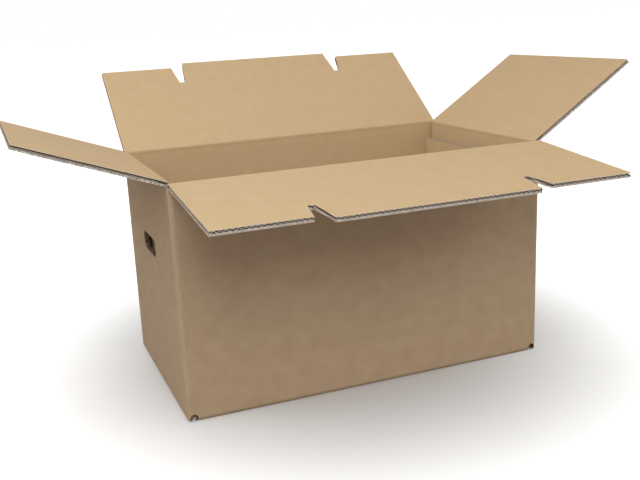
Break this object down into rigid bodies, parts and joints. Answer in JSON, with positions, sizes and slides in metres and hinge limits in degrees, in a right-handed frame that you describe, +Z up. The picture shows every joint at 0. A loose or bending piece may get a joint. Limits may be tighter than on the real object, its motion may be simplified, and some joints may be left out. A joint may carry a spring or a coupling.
{
  "type": "moving box",
  "caption": "Open corrugated cardboard moving box with hand holes in its short walls, end panels folded up inside and hinged top flaps with locking notches.",
  "frame": {"origin": "middle of the underside of the closed floor", "axes": "+Z up, X along the long walls, front (the side seen from the camera) towards -Y"},
  "size_m": [0.9905, 0.7394, 0.4965],
  "materials": {
    "kraft_board": "matt kraft paper"
  },
  "bodies": {
    "carton": {"carton": "kraft_board"},
    "front_flap": {"front_flap": "kraft_board"},
    "back_flap": {"back_flap": "kraft_board"},
    "left_flap": {"left_flap": "kraft_board"},
    "right_flap": {"right_flap": "kraft_board"}
  },
  "joints": [
    {"name": "front_flap_fold", "type": "hinge", "parent": "carton", "child": "front_flap", "pos_m": [0, -0.166, 0.3606], "axis": [1, 0, 0], "range_deg": [-179.9, 34.1]},
    {"name": "back_flap_fold", "type": "hinge", "parent": "carton", "child": "back_flap", "pos_m": [0, 0.166, 0.3606], "axis": [-1, 0, 0], "range_deg": [-143.1, 76.9]},
    {"name": "left_flap_fold", "type": "hinge", "parent": "carton", "child": "left_flap", "pos_m": [-0.305, 0, 0.3573], "axis": [0, -1, 0], "range_deg": [-160.1, 59.9]},
    {"name": "right_flap_fold", "type": "hinge", "parent": "carton", "child": "right_flap", "pos_m": [0.305, 0, 0.3573], "axis": [0, 1, 0], "range_deg": [-146.9, 73.1]}
  ]
}
